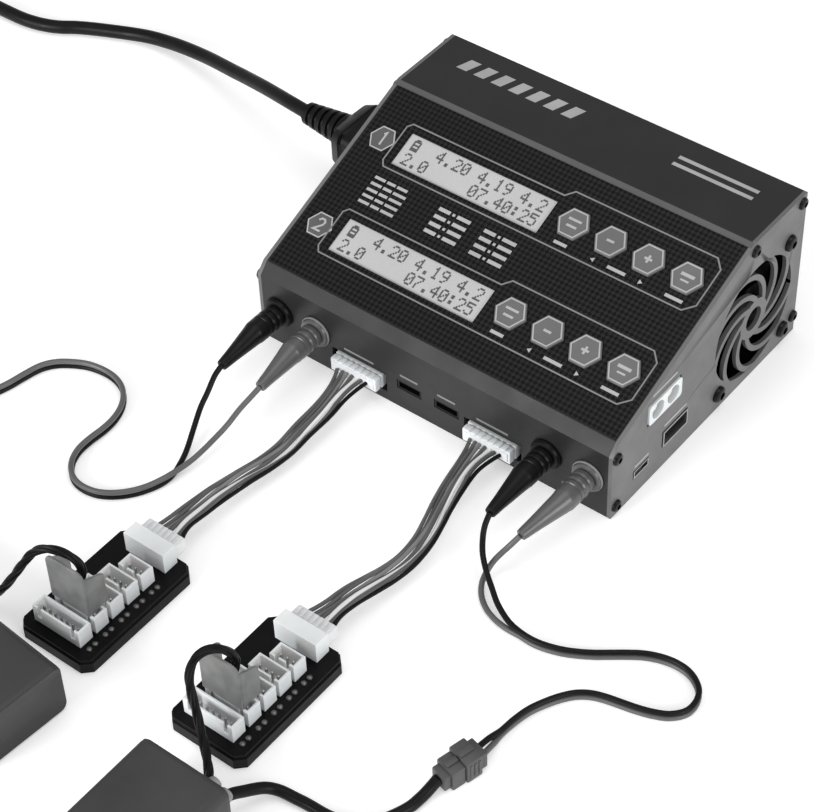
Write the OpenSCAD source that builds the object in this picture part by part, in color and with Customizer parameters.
// Two-channel balance charger with its mains lead, charge leads, balance boards
// and the two battery packs it is charging. Millimetres, Z up. The origin is the
// centre of the case's underside, +X runs right along the front, +Y to the back.

/* [Charger case] */
// Width of the case across both side panels
case_w = 150; // [146:1:170]
// Depth of the case, front to back
case_d = 112.6; // [112:0.2:124]
// Height of the case
case_h = 63.2; // [63:0.2:70]
// Height of the upright front face
front_h = 28.5; // [28:0.5:30]
// Depth of the level top behind the sloped face
top_d = 31.8; // [30:0.2:34]
// Depth of the small bevel above the front face
bevel_d = 3.7; // [3:0.1:5]
// Rise of the small bevel above the front face
bevel_h = 4.1; // [3:0.1:5]
// Wall of the folded cover and of the base plate
wall = 1.6; // [1.2:0.1:1.8]
// Thickness of each side panel
panel_t = 1.5; // [1.2:0.1:2]

/* [Keys and displays] */
// Distance between neighbouring keys
key_pitch = 15.2; // [15:0.1:15.6]
// Key size across its corners
key_across = 12.8; // [12:0.1:13]
// How far a key travels when it is pressed
key_travel = 0.5; // [0.2:0.1:0.5]
// Height of a key cap above the sloped face
key_proud = 1.0; // [0.8:0.1:1.5]
// Width of each display window
lcd_w = 62.8; // [60:0.2:63]
// Height of each display window
lcd_h = 13.9; // [12:0.1:14]

/* [Fan] */
// Side of the square fan
fan_side = 49.5; // [48:0.5:49.5]
// Thickness of the fan
fan_t = 15; // [12:1:15]
// Distance between fan screws
fan_pitch = 40; // [39:0.5:41]
// Radius of the grille opening
grille_r = 23.5; // [22:0.5:24]
// Number of curved arms in the grille
grille_arms = 9; // [7:1:11]

/* [Leads] */
// Diameter of the mains lead
mains_d = 5.5; // [5:0.1:6]
// Diameter of one charge lead
charge_d = 2.0; // [1.6:0.1:2]
// Width of the seven-wire balance ribbon
ribbon_w = 8; // [7:0.5:9]
// Thickness of the balance ribbon
ribbon_t = 2.6; // [2:0.1:3]
// Diameter of a pack's power lead
pack_lead_d = 3.8; // [3:0.1:4]
// Diameter of a pack's balance lead
pack_balance_d = 3.1; // [2.5:0.1:3.4]

/* [Battery packs] */
// Length of a pack
pack_l = 110; // [100:1:120]
// Width of a pack
pack_w = 34; // [30:0.5:34]
// Height of a pack
pack_h = 21; // [20:0.5:23]

/* [Hidden] */
$fn = 48;

// A hair's breadth that makes a cut pass right through
eps = 0.5;
// Gap between the pieces of one assembly that only rest near each other
gap = 0.1;

inner_w = case_w - 2 * panel_t;
front_y = -case_d / 2;
back_y = case_d / 2;
slope_y = front_y + bevel_d;
slope_z = front_h + bevel_h;
top_y = back_y - top_d;
slope_angle = atan2(case_h - slope_z, top_y - slope_y);
slope_l = norm([top_y - slope_y, case_h - slope_z]);
case_profile = [
    [front_y, 0], [front_y, front_h], [slope_y, slope_z],
    [top_y, case_h], [back_y, case_h], [back_y, 0]
];

// Layers under the sloped face, measured down from its outside
film_t = 0.3;
flange_top = wall + 0.4;
flange_t = 0.6;
stem_end = flange_top + flange_t + 0.5;
plunger_top = stem_end + key_travel + gap;
plunger_h = 0.5;
switch_h = 1.6;
board_top = plunger_top + plunger_h + switch_h;
board_t = 1.0;

lcd_x = -25.1;
lcd_rows = [59.35, 20.75];
key_rows = [61.1, 22.7];
key_x0 = 16.2;

fan_y = 27.2;
fan_z = 27.1;
fan_out = case_w / 2 - panel_t;
rotor_r = 22.6;
hub_r = 12;
shaft_r = 1.5;
bearing_r = 1.55;

output_x = [-65.9, -49.2, 49.2, 65.9];
output_z = 15.5;
balance_x = [-30.4, 26.8];
balance_z = 7.9;
temperature_x = [-8.6, 7.4];
temperature_z = 10.8;

// Board of the power stage inside the case
pcb_z = 2.6;
pcb_t = 1.6;
pcb_top = pcb_z + pcb_t;

// Mains inlet and its plug
inlet_y = 26;
inlet_z = 25;
relief_end = -121.8;

// Panel screws as [y, z], the same on both sides
panel_screws = [[53.4, 60.2], [24.4, 59.6], [-53.8, 26.6], [-53.4, 4.2], [54.2, 8]];
panel_head_r = 2.3;
screw_r = 1.2;
channel_r = 1.25;
channel_wall_r = 1.95;
channel_l = 10;

// Screws that hold the base plate, as [x, y]
base_screws = [[-57.5, -51.8], [57.5, -51.8], [-57.5, 51.8], [40, 51.8]];
// Fan screws as [y, z] steps of half a pitch; the fourth corner is cut away
fan_corners = [[1, 1], [-1, -1], [1, -1]];

// Balance boards: left and front edge of each
board_x = [-48, 14.5];
board_y = [-208, -207];
board_w = 30.5;
board_l = 51;
board_pad_t = 4.4;
board_top_z = 6;
xh_pitch = 2.5;
xh_depth = 5.75;
socket_right = 24.3;
// Front edge of each upright socket from the board's front edge, widest first
socket_steps = [4.2, 11.6, 18.9, 26, 33.1];

// Packs: centre of the face that the leads leave, and the direction of the length
pack_1_at = [-125.5, -227];
pack_2_at = [40.3, -224];
// Turn of the first pack about the vertical
pack_1_turn = 85;

// Joined charge connectors: [x, y] of the joint between the two halves
joints = [[-137.5, -167.5], [97.3, -168]];
joint_turns = [0, -14];

// Where each charge lead leaves the tip of its plug's boot
tip_1_black = [-65.6, -88, 14];
tip_1_red = [-48.2, -88, 14];
tip_2_black = [49.8, -88.5, 15];
tip_2_red = [62.4, -89, 13];

// Routes of the leads, from where each leaves its plug
mains_route = [
    [relief_end, 26, 25], [-131, 27.5, 24.3], [-146.5, 32.2, 20.5], [-160, 36.5, 16.5],
    [-173.5, 40.3, 12.8], [-187, 43.8, 9.5], [-200, 46, 6.8], [-211, 46.8, 4.9], [-222, 46, 3.6],
    [-231, 43.6, 2.9], [-240, 39.8, 2.8], [-246, 37, 2.8], [-252, 33.8, 2.8], [-258, 29.9, 2.8],
    [-265, 27, 2.8], [-273, 25.4, 2.8], [-282, 25, 2.8], [-299, 25, 2.8], [-318, 25, 2.8],
    [-337, 25, 2.8]
];
plug_tail = [
    [-371, -9, 8.3], [-371, -18, 8.5], [-371, -27, 9.6], [-371, -36, 12], [-371, -45, 15],
    [-371, -54, 17.4], [-371, -61, 18.4], [-371, -66, 18.5]
];
coil_at = [-337, -9];
coil_inner = 20.2;
coil_outer = 36.8;
coil_h = 11;

charge_1_black = [
    tip_1_black, [-65.4, -92, 12.4], [-64.6, -97, 9], [-63.8, -102, 6], [-61, -109, 3.4],
    [-57.5, -116.5, 1.8], [-55.5, -122, 1.1], [-53.8, -128, 1.05], [-54, -133, 1.05],
    [-55.8, -138, 1.05], [-58.4, -142.4, 1.05], [-61.6, -146, 1.05], [-65, -148.6, 1.05],
    [-69, -150.4, 1.05], [-74, -151, 1.05], [-78.4, -150, 1.05], [-82.2, -147.4, 1.05],
    [-85, -143.6, 1.05], [-86.6, -138.6, 1.05], [-86.8, -133, 1.05], [-86.4, -127, 1.05],
    [-86.8, -121.4, 1.05], [-88.4, -116.2, 1.05], [-91.2, -111.8, 1.05], [-95, -108.4, 1.05],
    [-100, -106.4, 1.05], [-106, -106, 1.05], [-112.4, -107.2, 1.05], [-118, -110, 1.05],
    [-122.4, -113.4, 1.05], [-125.4, -118, 1.05], [-127, -124.4, 1.05], [-128.4, -131.5, 1.05],
    [-131, -139, 1.05], [-134.6, -147, 1.3], [-137.2, -153, 2.4], [-139, -159.6, 4.5]
];
charge_1_red = [
    tip_1_red, [-49, -92, 12], [-50.3, -97, 9], [-50.8, -103, 6.2], [-51.2, -109, 4.6],
    [-51.4, -116, 3.6], [-51.8, -122, 3.2], [-52.8, -128, 3.1], [-54, -133, 3.1],
    [-55.8, -138, 3.1], [-58.4, -142.4, 3.1], [-61.6, -146, 3.1], [-65, -148.6, 3.1],
    [-69, -150.4, 3.1], [-74, -151, 3.1], [-78.4, -150, 3.1], [-82.2, -147.4, 3.1],
    [-85, -143.6, 3.1], [-86.6, -138.6, 3.1], [-86.8, -133, 3.1], [-86.4, -127, 3.1],
    [-86.8, -121.4, 3.1], [-88.4, -116.2, 3.1], [-91.2, -111.8, 3.1], [-95, -108.4, 3.1],
    [-100, -106.4, 3.1], [-106, -106, 3.1], [-112.4, -107.2, 3.1], [-118, -110, 3.1],
    [-122.4, -113.4, 3.1], [-125.4, -118, 3.1], [-127, -124.4, 3.1], [-128.4, -131.5, 3.1],
    [-131, -139, 3.1], [-133.6, -147, 3.3], [-135.4, -153, 3.7], [-136, -159.6, 4.5]
];
charge_2_black = [
    tip_2_black, [50.4, -92, 12.4], [51.8, -95, 9.8], [54.4, -98.5, 7.2], [59, -102.6, 5.4],
    [63.8, -106.2, 4.4], [69, -110, 3.6], [75.5, -113.2, 3.1], [81, -114.5, 3.1],
    [86, -114.7, 3.1], [90.5, -114, 3.1], [95.5, -112.4, 3.1], [100, -110.2, 3.1],
    [104.5, -107.4, 3.1], [108.5, -104.4, 3.1], [112.5, -101.4, 3.1], [116.7, -98.6, 3.1],
    [121.2, -96.6, 3.1], [126, -95.5, 3.1], [131, -95.7, 3.1], [135.2, -97.4, 3.1],
    [138.6, -100.4, 3.1], [140.2, -104.6, 3.1], [139.8, -109.2, 3.1], [136.6, -113.2, 3.1],
    [132, -115.6, 3.1], [127, -117.2, 3.1], [121.6, -118.4, 3.1], [116.5, -119.6, 3.1],
    [112.4, -121.2, 3.1], [108.8, -123.8, 3.1], [105.8, -127.6, 3.1], [103.2, -132.2, 3.1],
    [101, -137.5, 3.1], [99.8, -143.2, 3.1], [99.2, -149, 3.1], [98.2, -154, 3.6],
    [97.9, -160.2, 4.5]
];
charge_2_red = [
    tip_2_red, [60, -91.4, 8.8], [57.8, -96, 5.2], [57.4, -100, 3], [58.6, -104.6, 1.8],
    [61.6, -108.8, 1.2], [66, -112, 1.05], [71, -113.9, 1.05], [76, -114.6, 1.05],
    [81, -114.5, 1.05], [86, -114.7, 1.05], [90.5, -114, 1.05], [95.5, -112.4, 1.05],
    [100, -110.2, 1.05], [104.5, -107.4, 1.05], [108.5, -104.4, 1.05], [112.5, -101.4, 1.05],
    [116.7, -98.6, 1.05], [121.2, -96.6, 1.05], [126, -95.5, 1.05], [131, -95.7, 1.05],
    [135.2, -97.4, 1.05], [138.6, -100.4, 1.05], [140.2, -104.6, 1.05], [139.8, -109.2, 1.05],
    [136.6, -113.2, 1.05], [132, -115.6, 1.05], [127, -117.2, 1.05], [121.6, -118.4, 1.05],
    [116.5, -119.6, 1.05], [112.4, -121.2, 1.05], [108.8, -123.8, 1.05], [105.8, -127.6, 1.05],
    [103.2, -132.2, 1.05], [101, -137.5, 1.05], [99.8, -143.2, 1.05], [99.2, -149, 1.05],
    [100, -154, 2.4], [100.8, -161, 4.5]
];
balance_1 = [
    [-30.4, -60.5, 7.9], [-29.5, -70, 7.5], [-28.5, -79, 7], [-28.5, -89, 6], [-28, -99, 5.5],
    [-29, -108, 5.5], [-31, -118, 6], [-32.5, -129, 6.5], [-32.5, -138, 7.5], [-32.2, -146.5, 8.8],
    [-31.5, -154, 9.5]
];
balance_2 = [
    [26.8, -60.5, 7.9], [27, -70, 7.5], [28.5, -79.5, 7], [30.5, -88.5, 6], [33, -96.5, 6],
    [35, -105, 6], [35.5, -114, 6], [34.5, -121.5, 6], [33, -129, 6.5], [31.7, -137, 7.5],
    [31.4, -145.5, 8.8], [31.2, -153, 9.5]
];
pack_1_power = [
    [-137.5, -175, 4.5], [-137.6, -181, 3], [-138.4, -188, 2], [-140, -196, 2], [-142, -204, 2],
    [-144, -211, 2.4], [-144.6, -218, 3.6], [-142.8, -224.4, 5.8], [-138.6, -228.8, 8],
    [-133.4, -230.8, 9.6], [-129.4, -231, 10], [-125.4, -231, 10]
];
pack_2_power = [
    [95.5, -175.3, 4.5], [94.8, -179, 2.6], [94.4, -183, 2], [93.6, -188, 2], [90.5, -195, 2],
    [85.5, -200.5, 2], [78, -203.8, 2], [69, -204.5, 2], [64.5, -205, 2], [59.5, -206, 2.6],
    [56, -208.8, 4.2], [53.5, -214.5, 6.8], [52, -219.5, 9.2], [51.5, -224.4, 10]
];
pack_1_balance = [
    [-33.5, -193.4, 15.2], [-32.6, -192.8, 19.6], [-31.4, -192.2, 23.8], [-30.8, -191.8, 28],
    [-32, -192.6, 32], [-35.4, -194.4, 35], [-40.2, -196.4, 35.2], [-44.6, -198, 32.2],
    [-48.4, -199.6, 26.4], [-52.4, -201.2, 19.2], [-56.4, -202.8, 12.4], [-60.8, -204.4, 6.8],
    [-66.4, -206.2, 3.2], [-73.6, -207.2, 1.8], [-83, -207.4, 1.6], [-94, -207, 1.6],
    [-105, -206.6, 1.6], [-114, -206, 1.6], [-122, -205.8, 1.8], [-129, -207, 2.8],
    [-134.6, -210.6, 4.8], [-136, -215.6, 7.4], [-133.4, -219.8, 9.8], [-129, -221.4, 11],
    [-124.5, -221.6, 11.4]
];
pack_2_balance = [
    [29, -192.4, 15.2], [29.9, -191.8, 20], [31, -191, 24.4], [31.6, -190.8, 28.8],
    [30.8, -192.2, 33], [29, -195.2, 36.2], [27.4, -199, 37.6], [26.8, -203, 36.8],
    [27.4, -206.2, 33.4], [29, -207.8, 28], [30.8, -208.6, 22.2], [33.2, -210.2, 17.4],
    [36.8, -212.8, 14.4], [41, -216.2, 13.2], [44.6, -219.8, 12.7], [47.5, -224.4, 12.5]
];

// ---------------------------------------------------------------- helpers

function right_normal(v) = [v[1], -v[0]] / norm(v);

// Points of a clockwise outline moved inwards by t, with sharp corners
function inset(p, t) = [
    for (i = [0 : len(p) - 1])
        let (
            before = p[(i + len(p) - 1) % len(p)],
            after = p[(i + 1) % len(p)],
            n1 = right_normal(p[i] - before),
            n2 = right_normal(after - p[i])
        )
        p[i] + t * (n1 + n2) / (1 + n1 * n2)
];

function unit(v) = v / norm(v);

// One point on the smooth curve between points i and i + 1 of a route
function curve_point(p, i, s) =
    let (a = p[max(i - 1, 0)], b = p[i], c = p[i + 1], d = p[min(i + 2, len(p) - 1)])
    0.5 * (2 * b + (c - a) * s + (2 * a - 5 * b + 4 * c - d) * pow(s, 2)
        + (3 * b - 3 * c + d - a) * pow(s, 3));

function smooth_route(p, steps) = concat(
    [for (i = [0 : len(p) - 2]) for (k = [0 : steps - 1]) curve_point(p, i, k / steps)],
    [p[len(p) - 1]]
);

function ring(centre, along, up, w, h, sides) =
    let (side = unit(cross(along, up)), rise = unit(cross(side, along)))
    [for (k = [0 : sides - 1]) centre + side * w / 2 * cos(360 * k / sides)
        + rise * h / 2 * sin(360 * k / sides)];

// A tube of w by h swept along a route; up stays square to the route
module tube(route, w, h, steps = 1, up = [0, 0, 1], sides = 8) {
    p = smooth_route(route, steps);
    last = len(p) - 1;
    points = [
        for (i = [0 : last])
            each ring(p[i], unit(p[min(i + 1, last)] - p[max(i - 1, 0)]), up, w, h, sides)
    ];
    walls = [
        for (i = [0 : last - 1]) for (k = [0 : sides - 1])
            let (a = i * sides, n = (k + 1) % sides)
            [a + k, a + n, a + sides + n, a + sides + k]
    ];
    near_cap = [for (k = [sides - 1 : -1 : 0]) k];
    far_cap = [for (k = [0 : sides - 1]) last * sides + k];
    polyhedron(points, concat([near_cap], walls, [far_cap]), convexity = 10);
}

// Places children on the sloped face: x as in the case, y up the slope, z outwards
module on_slope() {
    translate([0, slope_y, slope_z]) rotate([slope_angle, 0, 0]) children();
}

// Extrudes a shape drawn in the case's y and z along its x
module along_x(x0, x1) {
    translate([x0, 0, 0]) rotate([90, 0, 90]) linear_extrude(x1 - x0) children();
}

module block(low, high) {
    translate(low) cube(high - low);
}

module rounded_rect(w, h, r) {
    square([w - 2 * r, h], center = true);
    square([w, h - 2 * r], center = true);
    for (x = [-1, 1], y = [-1, 1])
        translate([x * (w / 2 - r), y * (h / 2 - r)]) circle(r);
}

// A cylinder from y0 back to y1, with y1 the larger
module rod_y(x, z, r, y0, y1) {
    translate([x, y1, z]) rotate([90, 0, 0]) cylinder(r = r, h = y1 - y0);
}

function key_x(i) = key_x0 + i * key_pitch;

// ------------------------------------------------------------------- case

module panel_outline() {
    polygon(case_profile);
}

module cover_shell() {
    difference() {
        panel_outline();
        polygon(inset(case_profile, wall));
        translate([front_y + wall, -1]) square([case_d - 2 * wall, 4]);
    }
}

// Round channels at both ends of the cover that the panel screws bite into
module screw_channels() {
    intersection() {
        panel_outline();
        translate([front_y, wall + gap]) square([case_d, case_h]);
        union() for (p = panel_screws) translate(p) circle(channel_wall_r);
    }
}

module screw_bores() {
    for (p = panel_screws) translate(p) circle(channel_r);
}

module base_screw_bosses() {
    for (p = base_screws)
        block([p[0] - 4, (p[1] < 0 ? front_y : p[1] - 3), wall + gap],
              [p[0] + 4, (p[1] < 0 ? p[1] + 3 : back_y), 8]);
}

module front_cutouts() {
    for (x = output_x) rod_y(x, output_z, 4.3, front_y - eps, front_y + wall + 1);
    for (x = balance_x)
        block([x - 12, front_y - eps, balance_z - 3.9], [x + 12, front_y + wall + eps, balance_z + 3.9]);
    for (x = temperature_x)
        block([x - 5.3, front_y - eps, temperature_z - 2], [x + 5.3, front_y + wall + eps, temperature_z + 2]);
}

module slope_cutouts() {
    on_slope() {
        for (v = lcd_rows) translate([lcd_x, v, -wall]) cube([lcd_w, lcd_h, 2 * wall + eps], center = true);
        for (v = key_rows) for (i = [0 : 3])
            translate([key_x(i), v, -2 * wall]) cylinder(r = key_across / 2 + 0.35, h = 3 * wall, $fn = 6);
    }
}

vent_count = 12;
vent_pitch = 9;

module back_vents() {
    for (i = [0 : vent_count - 1])
        block([(i - (vent_count - 1) / 2) * vent_pitch - 1.5, back_y - wall - eps, 22],
              [(i - (vent_count - 1) / 2) * vent_pitch + 1.5, back_y + eps, 46]);
}

module top_cover() {
    color([0.36, 0.36, 0.36]) difference() {
        union() {
            along_x(-inner_w / 2, inner_w / 2) cover_shell();
            along_x(-inner_w / 2, -inner_w / 2 + channel_l) screw_channels();
            along_x(inner_w / 2 - channel_l, inner_w / 2) screw_channels();
            base_screw_bosses();
        }
        along_x(-case_w / 2, -inner_w / 2 + channel_l) screw_bores();
        along_x(inner_w / 2 - channel_l, case_w / 2) screw_bores();
        front_cutouts();
        slope_cutouts();
        back_vents();
        for (p = base_screws) translate([p[0], p[1], 0]) cylinder(r = channel_r, h = 7);
        // room behind the front wall for the output sockets' nuts
        for (x = output_x) rod_y(x, output_z, 5.9, front_y + wall, front_y + wall + 6);
    }
}

module base_plate() {
    plate_w = inner_w;
    plate_d = case_d - 2 * wall - 2 * gap;
    color([0.3, 0.3, 0.3]) difference() {
        union() {
            block([-plate_w / 2, -plate_d / 2, 0], [plate_w / 2, plate_d / 2, wall]);
            for (x = [-60, 44], y = [-40, 40]) translate([x, y, wall]) cylinder(r = 3, h = pcb_z - wall);
        }
        for (p = base_screws) translate([p[0], p[1], -eps]) cylinder(r = 1.5, h = wall + 2 * eps);
        for (x = [-62, 62], y = [-42, 42]) translate([x, y, -eps]) cylinder(r = 5.1, h = 0.8 + eps);
    }
}

module feet() {
    color([0.08, 0.08, 0.08]) for (x = [-62, 62], y = [-42, 42])
        translate([x, y, 0]) cylinder(r = 5, h = 0.8);
}

module panel_screw_holes() {
    for (p = panel_screws) translate(p) circle(1.45);
}

module left_panel() {
    color([0.42, 0.42, 0.42]) along_x(-case_w / 2, -inner_w / 2) difference() {
        panel_outline();
        panel_screw_holes();
        translate([inlet_y, inlet_z]) square([28.4, 20.8], center = true);
    }
}

// Where the ports open in the right panel, as [y, z, width, height]
dc_opening = [-27, 31.5, 19.6, 9];
usb_opening = [-19.5, 12.9, 15, 7.4];
micro_opening = [-39.3, 10, 9, 3.6];
port_openings = [dc_opening, usb_opening, micro_opening];

// One curved grille arm: a piece of a ring that starts at the hub
arm_ring_r = 14.5;
arm_ring_offset = 11.5;
arm_w = 2.1;

module grille_arm() {
    intersection() {
        translate([arm_ring_offset, 0]) difference() {
            circle(arm_ring_r + arm_w / 2, $fn = 96);
            circle(arm_ring_r - arm_w / 2, $fn = 96);
        }
        difference() {
            circle(grille_r + 0.4, $fn = 96);
            circle(6);
        }
        translate([-30, -60]) square([60, 60]);
    }
}

module right_panel() {
    color([0.42, 0.42, 0.42]) along_x(inner_w / 2, case_w / 2) {
        difference() {
            panel_outline();
            panel_screw_holes();
            translate([fan_y, fan_z]) circle(grille_r, $fn = 96);
            for (c = fan_corners)
                translate([fan_y + c[0] * fan_pitch / 2, fan_z + c[1] * fan_pitch / 2]) circle(2.2);
            for (o = port_openings) translate([o[0], o[1]]) square([o[2], o[3]], center = true);
        }
        translate([fan_y, fan_z]) {
            for (k = [0 : grille_arms - 1]) rotate(k * 360 / grille_arms + 20) grille_arm();
            difference() {
                circle(8);
                circle(4.6);
            }
        }
    }
}

module case_screws() {
    color([0.07, 0.07, 0.07]) {
        for (side = [-1, 1]) for (p = panel_screws)
            translate([side * case_w / 2, p[0], p[1]]) rotate([0, side * 90, 0]) {
                cylinder(r1 = panel_head_r, r2 = panel_head_r - 0.5, h = 1.4);
                translate([0, 0, -9]) cylinder(r = screw_r, h = 9);
            }
        for (p = base_screws) translate([p[0], p[1], 0]) {
            cylinder(r = 1.4, h = wall);
            cylinder(r = screw_r, h = 6.5);
        }
    }
}

// -------------------------------------------------------- sloped face

overlay_l = 79.6;

module control_overlay() {
    color([0.09, 0.09, 0.09]) on_slope() linear_extrude(film_t) difference() {
        translate([-73, 0.6]) square([146, overlay_l]);
        for (v = lcd_rows) translate([lcd_x, v]) square([lcd_w, lcd_h], center = true);
        for (v = key_rows) for (i = [0 : 3])
            translate([key_x(i), v]) circle(key_across / 2 + 0.35, $fn = 6);
    }
}

module lcd(row) {
    bezel_w = 66.6;
    bezel_h = 18;
    color([0.75, 0.77, 0.75]) on_slope() translate([lcd_x, lcd_rows[row], 0]) {
        translate([-bezel_w / 2, -bezel_h / 2, -board_top]) cube([bezel_w, bezel_h, board_top - wall - gap]);
        translate([-lcd_w / 2 + gap, -lcd_h / 2 + gap, -wall - gap - eps])
            cube([lcd_w - 2 * gap, lcd_h - 2 * gap, eps + wall - 0.2]);
    }
}

module key(row, i) {
    color([0.45, 0.45, 0.45]) on_slope() translate([key_x(i), key_rows[row], 0]) {
        translate([0, 0, -flange_top - gap]) cylinder(r = key_across / 2, h = flange_top + key_proud + gap, $fn = 6);
        translate([0, 0, -flange_top - flange_t]) cylinder(r = key_across / 2 + 0.8, h = flange_t, $fn = 6);
        translate([0, 0, -stem_end]) cylinder(r = 1.6, h = stem_end - flange_top);
    }
}

module key_switches() {
    color([0.12, 0.12, 0.12]) on_slope() for (v = key_rows) for (i = [0 : 3])
        translate([key_x(i), v, -board_top]) {
            translate([-3, -3, 0]) cube([6, 6, switch_h]);
            cylinder(r = 1.7, h = switch_h + plunger_h);
        }
}

module display_board() {
    color([0.1, 0.3, 0.15]) on_slope() translate([0, 0, -board_top - board_t]) linear_extrude(board_t) {
        translate([-66, 9]) square([116, 61]);
        translate([50 - eps, 9]) square([15.6 + eps, 57]);
    }
}

// ------------------------------------------------------- inside the case

module main_board() {
    color([0.1, 0.3, 0.15]) difference() {
        union() {
            block([-72, -47, pcb_z], [52, 48, pcb_top]);
            block([51, -47, pcb_z], [71, 0, pcb_top]);
        }
        for (x = [-60, 44], y = [-40, 40]) translate([x, y, 0]) cylinder(r = 1.6, h = 10);
    }
}

module transformer() {
    color([0.75, 0.65, 0.2]) {
        block([-36, 2, pcb_top], [-8, 8, 29]);
        block([-36, 24, pcb_top], [-8, 30, 29]);
        block([-32, 8, pcb_top + 3], [-12, 24, 26]);
    }
}

module capacitors() {
    color([0.15, 0.15, 0.2]) {
        for (y = [-26, -8]) translate([-54, y, pcb_top]) cylinder(r = 8, h = 24);
        for (x = [2, 15, 28]) translate([x, 40, pcb_top]) cylinder(r = 5, h = 20);
    }
}

module heat_sinks() {
    color([0.7, 0.7, 0.72]) for (x = [4, 30]) {
        block([x, -20, pcb_top], [x + 3, 24, 26]);
        for (y = [-20 : 8 : 20]) block([x + 3 - eps, y, pcb_top + 4], [x + 16, y + 1.6, 26]);
    }
}

module fan_outline() {
    cut = 11.5;
    half = fan_side / 2;
    polygon([[-half, -half], [half, -half], [half, half], [-half + cut, half], [-half, half - cut]]);
}

module fan_frame() {
    inner_x = fan_out - fan_t;
    color([0.08, 0.08, 0.08]) {
        along_x(inner_x, fan_out) translate([fan_y, fan_z]) difference() {
            fan_outline();
            circle(24, $fn = 96);
            for (c = fan_corners) translate(c * fan_pitch / 2) circle(1.7);
        }
        // motor plate on four spokes, with the bearing tube
        along_x(inner_x, inner_x + 1.6) translate([fan_y, fan_z]) difference() {
            union() {
                circle(hub_r);
                for (a = [45 : 90 : 315]) rotate(a) translate([0, -1.2]) square([24.4, 2.4]);
            }
            circle(bearing_r);
        }
        along_x(inner_x, inner_x + 9) translate([fan_y, fan_z]) difference() {
            circle(3.2);
            circle(bearing_r);
        }
    }
}

module fan_rotor() {
    back_x = fan_out - fan_t + 2.2;
    front_x = fan_out - 1.6;
    color([0.12, 0.12, 0.12]) translate([0, fan_y, fan_z]) {
        translate([back_x, 0, 0]) rotate([0, 90, 0]) {
            difference() {
                cylinder(r = hub_r, h = front_x - back_x);
                translate([0, 0, -eps]) cylinder(r = hub_r - 1.4, h = front_x - back_x - 2 + eps);
            }
            cylinder(r = shaft_r, h = front_x - back_x - 1);
            for (k = [0 : 6]) rotate(k * 360 / 7)
                translate([0, hub_r - 0.6, 1.5]) rotate([0, 35, 0])
                    translate([-0.6, 0, 0]) cube([1.2, rotor_r - hub_r, 10]);
        }
    }
}

module fan_screws() {
    color([0.05, 0.05, 0.05]) for (c = fan_corners)
        translate([case_w / 2, fan_y + c[0] * fan_pitch / 2, fan_z + c[1] * fan_pitch / 2]) rotate([0, 90, 0]) {
            cylinder(r1 = 3.1, r2 = 2.4, h = 2);
            translate([0, 0, -12]) cylinder(r = 1.6, h = 12);
        }
}

// ------------------------------------------------------------- sockets

module output_socket(x) {
    translate([x, front_y, output_z]) rotate([90, 0, 0]) difference() {
        union() {
            cylinder(r = 5.8, h = 2);
            translate([0, 0, -16]) cylinder(r = 4.2, h = 16);
            translate([0, 0, -wall - 3.2]) cylinder(r = 5.6, h = 3, $fn = 6);
        }
        translate([0, 0, -13]) cylinder(r = 2.1, h = 18);
    }
}

module output_sockets_black() {
    color([0.06, 0.06, 0.06]) for (x = [output_x[0], output_x[2]]) output_socket(x);
}

module output_sockets_red() {
    color([0.6, 0.08, 0.06]) for (x = [output_x[1], output_x[3]]) output_socket(x);
}

// Upright shrouded socket for a row of pins, opening up +Z, low corner at the origin
module xh_socket(ways, h = 7) {
    w = xh_pitch * (ways - 1) + 4.9;
    shell = 0.8;
    difference() {
        cube([w, xh_depth, h]);
        translate([shell, shell, 1]) cube([w - 2 * shell, xh_depth - 2 * shell, h]);
        for (x = [2, w - 3.6]) translate([x, -eps, 2.5]) cube([1.6, 1.5, h]);
    }
    for (i = [0 : ways - 1])
        translate([2.45 - 0.32 + i * xh_pitch, 2.4, 0.5]) cube([0.64, 0.64, h - 2]);
}

// The same socket lying down, so that it opens to the front
module front_socket(x, z, ways) {
    w = xh_pitch * (ways - 1) + 4.9;
    translate([x - w / 2, front_y + 8, z - xh_depth / 2]) rotate([90, 0, 0]) xh_socket(ways, 8.4);
}

module balance_sockets() {
    color([0.9, 0.9, 0.87]) for (x = balance_x) {
        front_socket(x, balance_z, 7);
        block([x - 9.9, front_y + 8, pcb_top], [x + 9.9, front_y + 12, balance_z + 2.8]);
    }
}

module temperature_sockets() {
    color([0.1, 0.1, 0.1]) for (x = temperature_x) {
        difference() {
            block([x - 5.2, front_y + 0.2, temperature_z - 1.9], [x + 5.2, front_y + 9, temperature_z + 1.9]);
            block([x - 4.4, front_y - 1, temperature_z - 1.2], [x + 4.4, front_y + 7, temperature_z + 1.2]);
        }
        for (i = [-1 : 1]) rod_y(x + i * xh_pitch, temperature_z, 0.32, front_y + 2, front_y + 8);
        block([x - 5, front_y + 9.5, pcb_top], [x + 5, front_y + 12, temperature_z]);
        block([x - 5, front_y + 8.5, temperature_z - 1.9], [x + 5, front_y + 12, temperature_z + 1.9]);
    }
}

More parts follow.
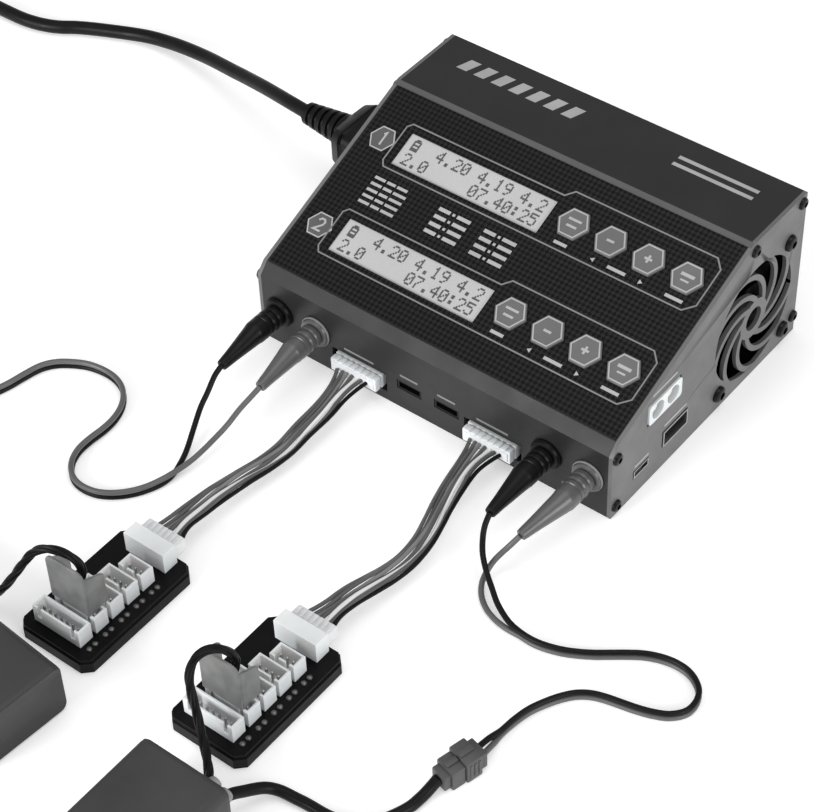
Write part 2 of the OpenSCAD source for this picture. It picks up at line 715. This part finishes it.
module data_ports() {
    face = case_w / 2;
    color([0.75, 0.75, 0.75]) {
        // the wide port: a metal shell round a flat tongue
        translate([0, usb_opening[0], usb_opening[1]]) {
            difference() {
                block([face - 15, -7.2, -3.4], [face + 0.4, 7.2, 3.4]);
                block([face - 12, -6.7, -2.9], [face + 1, 6.7, 2.9]);
            }
            block([face - 12.5, -5.8, 0.2], [face - 1, 5.8, 2]);
        }
        block([face - 14, usb_opening[0] - 6, pcb_top], [face - 8, usb_opening[0] + 6, usb_opening[1] - 3]);
        // the narrow port
        translate([0, micro_opening[0], micro_opening[1]]) {
            difference() {
                block([face - 7, -4.2, -1.5], [face + 0.2, 4.2, 1.5]);
                block([face - 5, -3.8, -1.1], [face + 1, 3.8, 1.1]);
            }
            block([face - 5.5, -2.6, -0.3], [face - 1, 2.6, 0.3]);
        }
        block([face - 7, micro_opening[0] - 4, pcb_top], [face - 4, micro_opening[0] + 4, micro_opening[1] - 1]);
    }
}

dc_depth = 9;

module dc_input() {
    face = case_w / 2;
    color([0.85, 0.85, 0.83]) translate([0, dc_opening[0], dc_opening[1]]) {
        along_x(face - dc_depth, face + 0.6) difference() {
            rounded_rect(19, 8.4, 1.5);
            for (y = [-4.4, 4.4]) translate([y, 0]) circle(3.4);
        }
        along_x(face - dc_depth, face - dc_depth + 1.5) rounded_rect(19, 8.4, 1.5);
        for (y = [-4.4, 4.4]) along_x(face - dc_depth, face - 1) translate([y, 0]) circle(1.75);
    }
}

inlet_out = 2;
inlet_deep = 22;

module mains_inlet() {
    face = -case_w / 2;
    color([0.06, 0.06, 0.06]) translate([0, inlet_y, inlet_z]) {
        difference() {
            union() {
                along_x(face - inlet_out, face) rounded_rect(32, 25, 2.5);
                along_x(face, face + inlet_deep) rounded_rect(28, 20.4, 2);
            }
            along_x(face - inlet_out - eps, face + inlet_deep - 4) rounded_rect(25, 17, 2);
        }
        // three flat contact blades
        for (p = [[-7, -2], [7, -2], [0, 3]])
            block([face + 4, p[0] - 1, p[1] - 2], [face + inlet_deep - 3, p[0] + 1, p[1] + 2]);
    }
}

// --------------------------------------------------------- mains lead

module mains_plug() {
    face = -case_w / 2;
    body_end = face - 26;
    color([0.06, 0.06, 0.06]) translate([0, inlet_y, inlet_z]) {
        difference() {
            along_x(face - inlet_out - gap, face + inlet_deep - 5) rounded_rect(24.6, 16.6, 2);
            for (p = [[-7, -2], [7, -2], [0, 3]])
                block([face + 3, p[0] - 1.2, p[1] - 2.2], [face + inlet_deep, p[0] + 1.2, p[1] + 2.2]);
        }
        along_x(body_end, face - inlet_out - gap) rounded_rect(27, 19, 4);
        translate([body_end, 0, 0]) rotate([0, -90, 0])
            cylinder(r1 = 6.6, r2 = 5, h = body_end - relief_end);
    }
}

module mains_cord() {
    color([0.05, 0.05, 0.05]) {
        tube(mains_route, mains_d, mains_d);
        tube(plug_tail, mains_d, mains_d);
    }
}

module mains_coil() {
    color([0.05, 0.05, 0.05]) translate([coil_at[0], coil_at[1], 0]) rotate_extrude($fn = 72)
        translate([coil_inner, 0]) square([coil_outer - coil_inner, coil_h]);
}

wall_plug_y = -66;
wall_plug_r = 18.5;

module wall_plug() {
    color([0.06, 0.06, 0.06]) translate([-371, wall_plug_y, wall_plug_r]) rotate([90, 0, 0]) {
        rotate_extrude($fn = 64) polygon([
            [0, 0], [3.4, 0], [5.6, 22], [9, 24], [14.5, 30], [16, 40], [wall_plug_r, 44],
            [wall_plug_r, 60], [17.6, 61], [0, 61]
        ]);
        for (x = [-9.5, 9.5]) translate([x, 0, 60]) cylinder(r = 2.4, h = 20);
    }
}

// -------------------------------------------------------- charge leads

plug_body_l = 12;

// Round plug whose boot leans towards the lead, its metal pin inside the socket
module charge_plug(x, tip) {
    body_end = [x, front_y - 2 - plug_body_l, output_z];
    lean = tip - body_end;
    rod_y(x, output_z, 4.1, body_end[1], front_y - 2);
    rod_y(x, output_z, 2, front_y - 2.5, front_y + 10);
    translate(body_end) sphere(4.1);
    translate(body_end) rotate([0, acos(lean[2] / norm(lean)), atan2(lean[1], lean[0])])
        cylinder(r1 = 4.1, r2 = 2, h = norm(lean));
}

module charge_plugs_black() {
    color([0.06, 0.06, 0.06]) {
        charge_plug(output_x[0], tip_1_black);
        charge_plug(output_x[2], tip_2_black);
    }
}

module charge_plugs_red() {
    color([0.6, 0.08, 0.06]) {
        charge_plug(output_x[1], tip_1_red);
        charge_plug(output_x[3], tip_2_red);
    }
}

module charge_lead_1_black() { color([0.05, 0.05, 0.05]) tube(charge_1_black, charge_d, charge_d); }
module charge_lead_1_red() { color([0.6, 0.08, 0.06]) tube(charge_1_red, charge_d, charge_d); }
module charge_lead_2_black() { color([0.05, 0.05, 0.05]) tube(charge_2_black, charge_d, charge_d); }
module charge_lead_2_red() { color([0.6, 0.08, 0.06]) tube(charge_2_red, charge_d, charge_d); }

connector_h = 9;
connector_w = 9;

module joint_place(k) {
    translate([joints[k][0], joints[k][1], 0]) rotate(joint_turns[k]) children();
}

// The half on the charger's lead: a shell with two blade slots
module charge_connector() {
    difference() {
        union() {
            block([-connector_w / 2, 0, 0], [connector_w / 2, 6, connector_h]);
            block([-connector_w / 2 + 0.8, 6 - eps, 1], [connector_w / 2 - 0.8, 8.5, connector_h - 1.4]);
        }
        for (x = [-1.9, 1.9]) block([x - 0.7, -eps, 2], [x + 0.7, 5, 7]);
    }
}

// The half on the pack's lead: a smaller shell with two blades
module pack_connector() {
    block([-3.9, -5, 0], [3.9, 0, connector_h - 1]);
    block([-3.1, -7.5, 1], [3.1, -5 + eps, connector_h - 2]);
    for (x = [-1.9, 1.9]) block([x - 0.5, -eps, 2.3], [x + 0.5, 4.6, 6.7]);
}

module charge_connectors() {
    color([0.55, 0.55, 0.55]) for (k = [0, 1]) joint_place(k) charge_connector();
}

module pack_connectors() {
    color([0.5, 0.5, 0.5]) for (k = [0, 1]) joint_place(k) pack_connector();
}

// ------------------------------------------------------- balance leads

module balance_lead_1() { color([0.4, 0.4, 0.4]) tube(balance_1, ribbon_w, ribbon_t, 2); }
module balance_lead_2() { color([0.4, 0.4, 0.4]) tube(balance_2, ribbon_w, ribbon_t, 2); }

// Plug in the charger: slides into the socket's shroud
module case_end_plug(x) {
    w = xh_pitch * 6 + 4.9;
    difference() {
        block([x - w / 2 + 0.9, -60.5, balance_z - 1.9], [x + w / 2 - 0.9, front_y + 5.6, balance_z + 1.9]);
        for (i = [0 : 6])
            block([x - w / 2 + 1.95 + i * xh_pitch, front_y - 0.6, balance_z - 0.9],
                  [x - w / 2 + 2.95 + i * xh_pitch, front_y + 6, balance_z + 0.9]);
    }
    block([x - w / 2, -60, balance_z - 2.8], [x + w / 2, front_y - 1, balance_z + 2.8]);
}

// Small-pitch plug on the side-entry header at the back of a board
header_w = 17.1;
header_back = 49;

module board_end_plug(k) {
    translate([board_x[k] + socket_right + 0.6, board_y[k] + header_back, board_top_z])
        block([0.8 - header_w, gap, 1], [-0.8, 5.5, 6]);
}

module balance_plugs() {
    color([0.88, 0.88, 0.85]) {
        for (x = balance_x) case_end_plug(x);
        for (k = [0, 1]) board_end_plug(k);
    }
}

// -------------------------------------------------------- balance boards

module board_outline(grow) {
    c = 3;
    polygon([
        [c, -grow], [board_w - c, -grow], [board_w + grow, c], [board_w + grow, board_l - c],
        [board_w - c, board_l + grow], [c, board_l + grow], [-grow, board_l - c], [-grow, c]
    ]);
}

module balance_board(k) {
    color([0.05, 0.05, 0.05]) translate([board_x[k], board_y[k], 0]) {
        linear_extrude(board_pad_t) board_outline(0);
        translate([0, 0, board_pad_t]) linear_extrude(board_top_z - board_pad_t) board_outline(-0.6);
    }
}

module board_sockets() {
    color([0.9, 0.9, 0.87]) for (b = [0, 1]) translate([board_x[b] + socket_right, board_y[b], board_top_z]) {
        for (k = [0 : 4])
            translate([-xh_pitch * (6 - k) - 4.9, socket_steps[k], 0]) xh_socket(7 - k);
        // side-entry header that the charger's balance lead plugs on to
        block([0.6 - header_w, header_back - 6, 0], [0.6, header_back, 8.5]);
    }
}

// The pack's balance plug stands in the second socket, behind a tall finger clip
clip_t = 1;
clip_left = -17.8;
clip_right = -1.8;
clip_bottom = 7.1;
clip_top = 26.4;
clip_reach = 9;
clip_slant = 6;

module balance_clip() {
    plug_x = -xh_pitch * 5 - 4.9;
    plug_y = socket_steps[1];
    web_y = plug_y - 0.5;
    // plug body, inside the shroud and a little above it
    translate([plug_x, plug_y, 0]) difference() {
        block([1, 0.95, 1.2], [14.2, 4.8, 9.6]);
        for (i = [0 : 4])
            block([2 + i * xh_pitch, 1.9, 0], [2.95 + i * xh_pitch, 3.6, 7]);
    }
    // upright web with rounded shoulders, facing the front
    translate([clip_left, web_y + clip_t, clip_bottom]) rotate([90, 0, 0]) linear_extrude(clip_t) {
        width = clip_right - clip_left;
        height = clip_top - clip_bottom;
        square([width, height - 3]);
        translate([3, 0]) square([width - 6, height]);
        for (x = [3, width - 3]) translate([x, height - 3]) circle(3);
    }
    // a wing on each side runs back, lower towards the back
    for (x = [clip_left, clip_right - clip_t])
        translate([0, web_y, 0]) along_x(x, x + clip_t) polygon([
            [clip_t - gap, clip_bottom], [clip_reach, clip_bottom],
            [clip_reach, clip_top - clip_slant], [clip_t - gap, clip_top - 2.9]
        ]);
}

module pack_balance_clips() {
    color([0.72, 0.72, 0.72]) for (k = [0, 1])
        translate([board_x[k] + socket_right, board_y[k], board_top_z]) balance_clip();
}

// --------------------------------------------------------------- packs

sleeve_t = 0.5;
end_cap = 1.2;

// Places a pack with its lead face at the origin and its length along -Y
module pack_1_place() { translate([pack_1_at[0], pack_1_at[1], 0]) rotate(pack_1_turn) children(); }
module pack_2_place() { translate([pack_2_at[0], pack_2_at[1], 0]) children(); }

module sleeve_section(shrink) {
    translate([0, pack_h / 2]) rounded_rect(pack_w - 2 * shrink, pack_h - 2 * shrink, 3.5 - shrink);
}

module pack_sleeve() {
    color([0.33, 0.33, 0.33]) difference() {
        rotate([90, 0, 0]) linear_extrude(pack_l) sleeve_section(0);
        translate([0, -end_cap, 0]) rotate([90, 0, 0]) linear_extrude(pack_l - 2 * end_cap) sleeve_section(sleeve_t);
    }
}

module pack_cells() {
    cell_h = (pack_h - 2 * sleeve_t) / 2 - 0.6;
    color([0.7, 0.7, 0.72]) for (k = [0, 1])
        translate([0, -end_cap - 1, sleeve_t + 0.3 + k * (cell_h + 0.3)]) {
            block([-pack_w / 2 + 4, -pack_l + 6, 0], [pack_w / 2 - 4, -6, cell_h]);
            block([-pack_w / 2 + 5, -6 - eps, cell_h / 2 - 1], [pack_w / 2 - 5, 0, cell_h / 2 + 1]);
        }
}

module pack_1_sleeve() { pack_1_place() pack_sleeve(); }
module pack_2_sleeve() { pack_2_place() pack_sleeve(); }
module pack_1_cells() { pack_1_place() pack_cells(); }
module pack_2_cells() { pack_2_place() pack_cells(); }

module pack_1_power_lead() { color([0.05, 0.05, 0.05]) tube(pack_1_power, pack_lead_d, pack_lead_d, 1); }
module pack_2_power_lead() { color([0.05, 0.05, 0.05]) tube(pack_2_power, pack_lead_d, pack_lead_d, 1); }

// The balance leads rise steeply, so their rings are squared to the board's length
module pack_1_balance_lead() {
    color([0.05, 0.05, 0.05]) tube(pack_1_balance, pack_balance_d, pack_balance_d, 2, [0, 1, 0.1]);
}
module pack_2_balance_lead() {
    color([0.05, 0.05, 0.05]) tube(pack_2_balance, pack_balance_d, pack_balance_d, 2, [1, 0.1, 0]);
}

top_cover();
base_plate();
left_panel();
right_panel();
control_overlay();
lcd(0);  // lcd_1
lcd(1);  // lcd_2
key(0, 0);  // mode_key_1
key(0, 1);  // down_key_1
key(0, 2);  // up_key_1
key(0, 3);  // enter_key_1
key(1, 0);  // mode_key_2
key(1, 1);  // down_key_2
key(1, 2);  // up_key_2
key(1, 3);  // enter_key_2
key_switches();
display_board();
main_board();
transformer();
capacitors();
heat_sinks();
fan_frame();
fan_rotor();
case_screws();
fan_screws();
feet();
output_sockets_black();
output_sockets_red();
balance_sockets();
temperature_sockets();
data_ports();
dc_input();
mains_inlet();
mains_plug();
mains_cord();
mains_coil();
wall_plug();
charge_plugs_black();
charge_plugs_red();
charge_lead_1_black();
charge_lead_1_red();
charge_lead_2_black();
charge_lead_2_red();
charge_connectors();
balance_lead_1();
balance_lead_2();
balance_plugs();
balance_board(0);  // board_1
balance_board(1);  // board_2
board_sockets();
pack_1_cells();
pack_2_cells();
pack_1_sleeve();
pack_2_sleeve();
pack_1_power_lead();
pack_2_power_lead();
pack_connectors();
pack_1_balance_lead();
pack_2_balance_lead();
pack_balance_clips();
